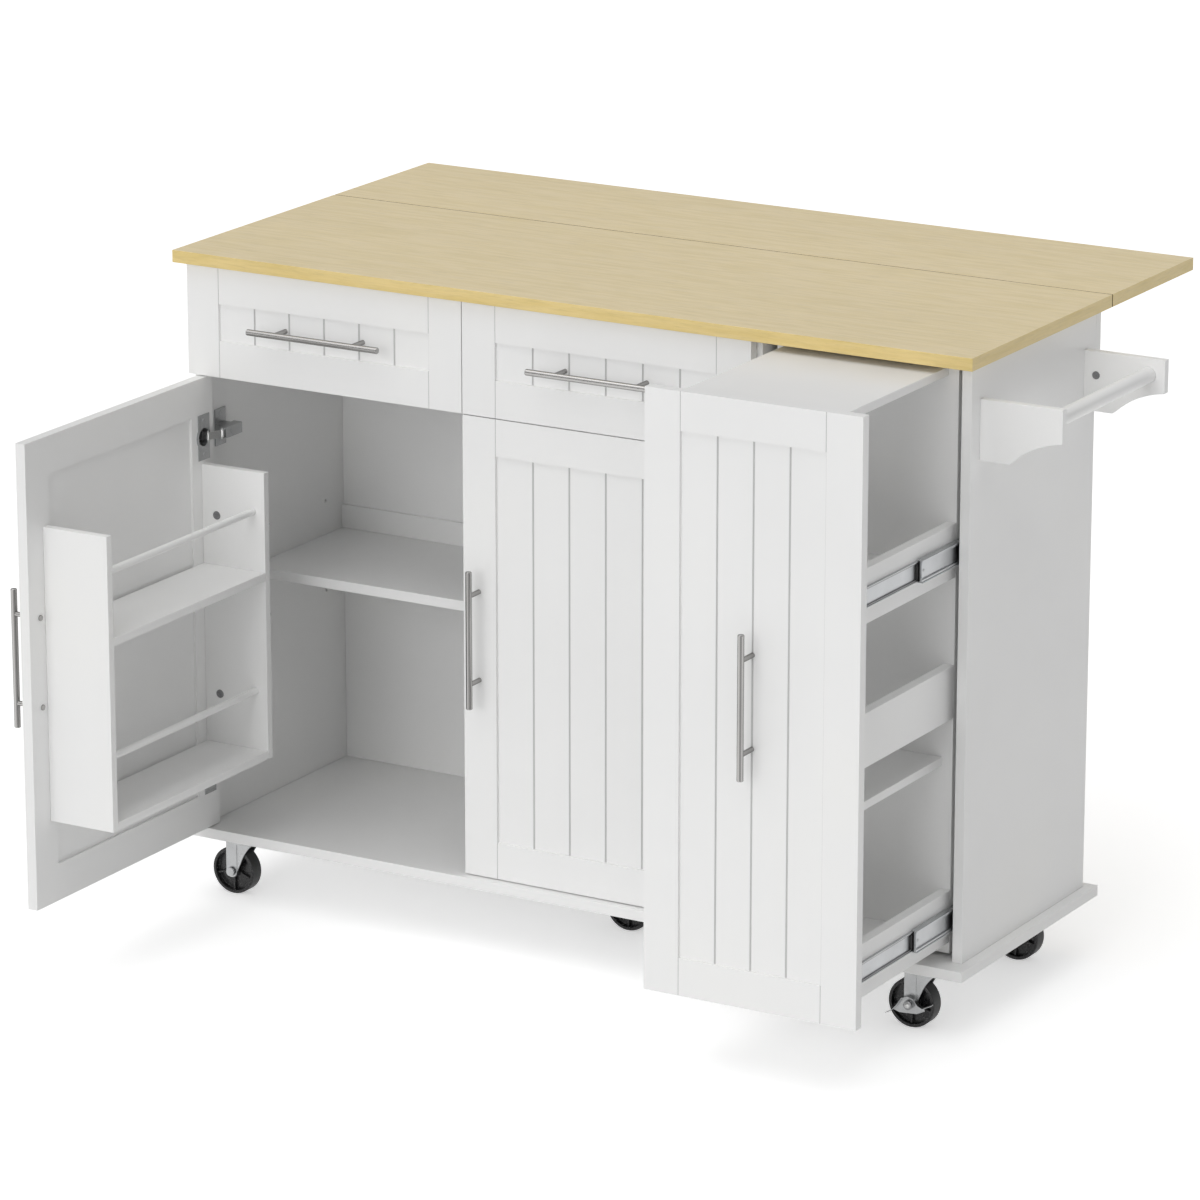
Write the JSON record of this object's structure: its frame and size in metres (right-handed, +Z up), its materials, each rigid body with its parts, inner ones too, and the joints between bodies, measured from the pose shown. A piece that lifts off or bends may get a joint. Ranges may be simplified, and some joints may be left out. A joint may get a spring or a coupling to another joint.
{
  "type": "kitchen island",
  "caption": "Rolling kitchen island with a hinged drop leaf, drawers, cupboard doors with a spice rack, a pull-out larder and a side towel rack.",
  "frame": {"origin": "middle of the footprint on the floor, in the stored pose with the left door and the pull-out open and the leaf up", "axes": "+X along the worktop from the spice rack's door to the towel rack, +Y from the fronts to the leaf, +Z up"},
  "size_m": [1.369, 1.1062, 0.958],
  "materials": {
    "white_lacquer": "white satin lacquer on board",
    "maple": "light clear-coated wood, fine straight grain along the length",
    "satin_nickel": "satin nickel plate",
    "zinc_steel": "bright zinc plate",
    "wheel_rubber": "black, smooth tread, glossy rim"
  },
  "bodies": {
    "cabinet": {"counter_top": "maple", "base_panel": "white_lacquer", "left_side_panel": "white_lacquer", "right_side_panel": "white_lacquer", "bay_divider": "white_lacquer", "drawer_divider_panels": "white_lacquer", "back_panel": "white_lacquer", "shelf": "white_lacquer", "shelf_batten": "white_lacquer", "shelf_pins": "satin_nickel", "rear_rail": "white_lacquer", "towel_brackets": "white_lacquer", "towel_bar": "white_lacquer", "towel_bracket_cams": "zinc_steel", "leaf_rail_hardware": "zinc_steel", "door_hinge_arms": "zinc_steel", "fixed_slide_rails": "zinc_steel", "caster_plates": "zinc_steel"},
    "leaf": {"drop_leaf": "maple", "leaf_hardware": "zinc_steel"},
    "stay_lower": {"stay_lower_links": "zinc_steel"},
    "stay_upper": {"stay_upper_links": "zinc_steel"},
    "left_links": {"left_hinge_links": "satin_nickel"},
    "left_door": {"left_door": "white_lacquer", "left_door_handle": "satin_nickel", "left_hinge_cups": "zinc_steel", "spice_rack_sides": "white_lacquer", "spice_rack_shelves": "white_lacquer", "spice_rack_rods": "white_lacquer", "spice_rack_cams": "zinc_steel"},
    "right_links": {"right_hinge_links": "satin_nickel"},
    "right_door": {"right_door": "white_lacquer", "right_door_handle": "satin_nickel", "right_hinge_cups": "zinc_steel"},
    "left_drawer": {"left_drawer_front": "white_lacquer", "left_drawer_box": "white_lacquer", "left_drawer_handle": "satin_nickel", "left_drawer_runners": "zinc_steel"},
    "right_drawer": {"right_drawer_front": "white_lacquer", "right_drawer_box": "white_lacquer", "right_drawer_handle": "satin_nickel", "right_drawer_runners": "zinc_steel"},
    "pullout": {"pullout_front": "white_lacquer", "pullout_handle": "satin_nickel", "pullout_box": "white_lacquer", "pullout_guards": "white_lacquer", "pullout_box_slides": "zinc_steel"},
    "pullout_mid": {"pullout_mid_slides": "zinc_steel"},
    "front_left_fork": {"front_left_fork": "zinc_steel"},
    "front_left_wheel": {"front_left_wheel": "wheel_rubber"},
    "front_right_fork": {"front_right_fork": "zinc_steel"},
    "front_right_wheel": {"front_right_wheel": "wheel_rubber"},
    "rear_left_fork": {"rear_left_fork": "zinc_steel"},
    "rear_left_wheel": {"rear_left_wheel": "wheel_rubber"},
    "rear_right_fork": {"rear_right_fork": "zinc_steel"},
    "rear_right_wheel": {"rear_right_wheel": "wheel_rubber"},
    "middle_fork": {"middle_fork": "zinc_steel"},
    "middle_wheel": {"middle_wheel": "wheel_rubber"},
    "front_right_brake": {"front_right_brake_lever": "zinc_steel"},
    "rear_left_brake": {"rear_left_brake_lever": "zinc_steel"}
  },
  "joints": [
    {"name": "leaf_hinge", "type": "hinge", "parent": "cabinet", "child": "leaf", "pos_m": [-0.0515, 0.29206, 0.9375], "axis": [-1, 0, 0], "range_deg": [0, 90]},
    {"name": "stay_lower_pivot", "type": "hinge", "parent": "cabinet", "child": "stay_lower", "pos_m": [-0.0515, 0.28206, 0.83], "axis": [-1, 0, 0], "range_deg": [0, 118.65]},
    {"name": "stay_upper_pivot", "type": "hinge", "parent": "leaf", "child": "stay_upper", "pos_m": [-0.0515, 0.44206, 0.93], "axis": [1, 0, 0], "range_deg": [0, 151.37]},
    {"name": "left_link_pivot", "type": "hinge", "parent": "cabinet", "child": "left_links", "pos_m": [-0.6251, -0.09464, 0.4435], "axis": [0, 0, 1], "range_deg": [-62.76, 0]},
    {"name": "left_door_hinge", "type": "hinge", "parent": "left_links", "child": "left_door", "pos_m": [-0.634, -0.11694, 0.4435], "axis": [0, 0, 1], "range_deg": [0, 152.75]},
    {"name": "right_link_pivot", "type": "hinge", "parent": "cabinet", "child": "right_links", "pos_m": [0.20075, -0.08194, 0.4435], "axis": [0, 0, 1], "range_deg": [-60.01, 0]},
    {"name": "right_door_hinge", "type": "hinge", "parent": "right_links", "child": "right_door", "pos_m": [0.23075, -0.09694, 0.4435], "axis": [0, 0, 1], "range_deg": [0, 150]},
    {"name": "left_drawer_slide", "type": "slide", "parent": "cabinet", "child": "left_drawer", "axis": [0, -1, 0], "range_m": [0, 0.28]},
    {"name": "right_drawer_slide", "type": "slide", "parent": "cabinet", "child": "right_drawer", "axis": [0, -1, 0], "range_m": [0, 0.28]},
    {"name": "pullout_slide", "type": "slide", "parent": "cabinet", "child": "pullout", "axis": [0, -1, 0], "range_m": [-0.287, 0.013]},
    {"name": "pullout_mid_slide", "type": "slide", "parent": "cabinet", "child": "pullout_mid", "axis": [0, -1, 0], "range_m": [-0.1034, 0.0047]},
    {"name": "front_left_swivel", "type": "hinge", "parent": "cabinet", "child": "front_left_fork", "pos_m": [-0.6048, -0.07644, 0.08], "axis": [0, 0, 1], "continuous": true},
    {"name": "front_left_roll", "type": "hinge", "parent": "front_left_fork", "child": "front_left_wheel", "pos_m": [-0.6245, -0.07644, 0.035], "axis": [0, 1, 0], "continuous": true},
    {"name": "front_right_swivel", "type": "hinge", "parent": "cabinet", "child": "front_right_fork", "pos_m": [0.5018, -0.07644, 0.08], "axis": [0, 0, 1], "continuous": true},
    {"name": "front_right_roll", "type": "hinge", "parent": "front_right_fork", "child": "front_right_wheel", "pos_m": [0.4821, -0.07644, 0.035], "axis": [0, 1, 0], "continuous": true},
    {"name": "rear_left_swivel", "type": "hinge", "parent": "cabinet", "child": "rear_left_fork", "pos_m": [-0.6048, 0.23956, 0.08], "axis": [0, 0, 1], "continuous": true},
    {"name": "rear_left_roll", "type": "hinge", "parent": "rear_left_fork", "child": "rear_left_wheel", "pos_m": [-0.6245, 0.23956, 0.035], "axis": [0, 1, 0], "continuous": true},
    {"name": "rear_right_swivel", "type": "hinge", "parent": "cabinet", "child": "rear_right_fork", "pos_m": [0.5018, 0.23956, 0.08], "axis": [0, 0, 1], "continuous": true},
    {"name": "rear_right_roll", "type": "hinge", "parent": "rear_right_fork", "child": "rear_right_wheel", "pos_m": [0.4821, 0.23956, 0.035], "axis": [0, 1, 0], "continuous": true},
    {"name": "middle_swivel", "type": "hinge", "parent": "cabinet", "child": "middle_fork", "pos_m": [-0.0295, 0.07156, 0.08], "axis": [0, 0, 1], "continuous": true},
    {"name": "middle_roll", "type": "hinge", "parent": "middle_fork", "child": "middle_wheel", "pos_m": [-0.0492, 0.07156, 0.035], "axis": [0, 1, 0], "continuous": true},
    {"name": "front_right_brake_pivot", "type": "hinge", "parent": "front_right_fork", "child": "front_right_brake", "pos_m": [0.4821, -0.07644, 0.035], "axis": [0, 1, 0], "range_deg": [0, 25]},
    {"name": "rear_left_brake_pivot", "type": "hinge", "parent": "rear_left_fork", "child": "rear_left_brake", "pos_m": [-0.6245, 0.23956, 0.035], "axis": [0, 1, 0], "range_deg": [0, 25]}
  ],
  "couplings": [
    {"joint": "stay_lower_pivot", "follows": "leaf_hinge", "ratio": 1.3182},
    {"joint": "stay_upper_pivot", "follows": "leaf_hinge", "ratio": 1.6818},
    {"joint": "left_link_pivot", "follows": "left_door_hinge", "ratio": -0.41079},
    {"joint": "right_link_pivot", "follows": "right_door_hinge", "ratio": -0.4},
    {"joint": "pullout_mid_slide", "follows": "pullout_slide", "ratio": 0.36}
  ]
}
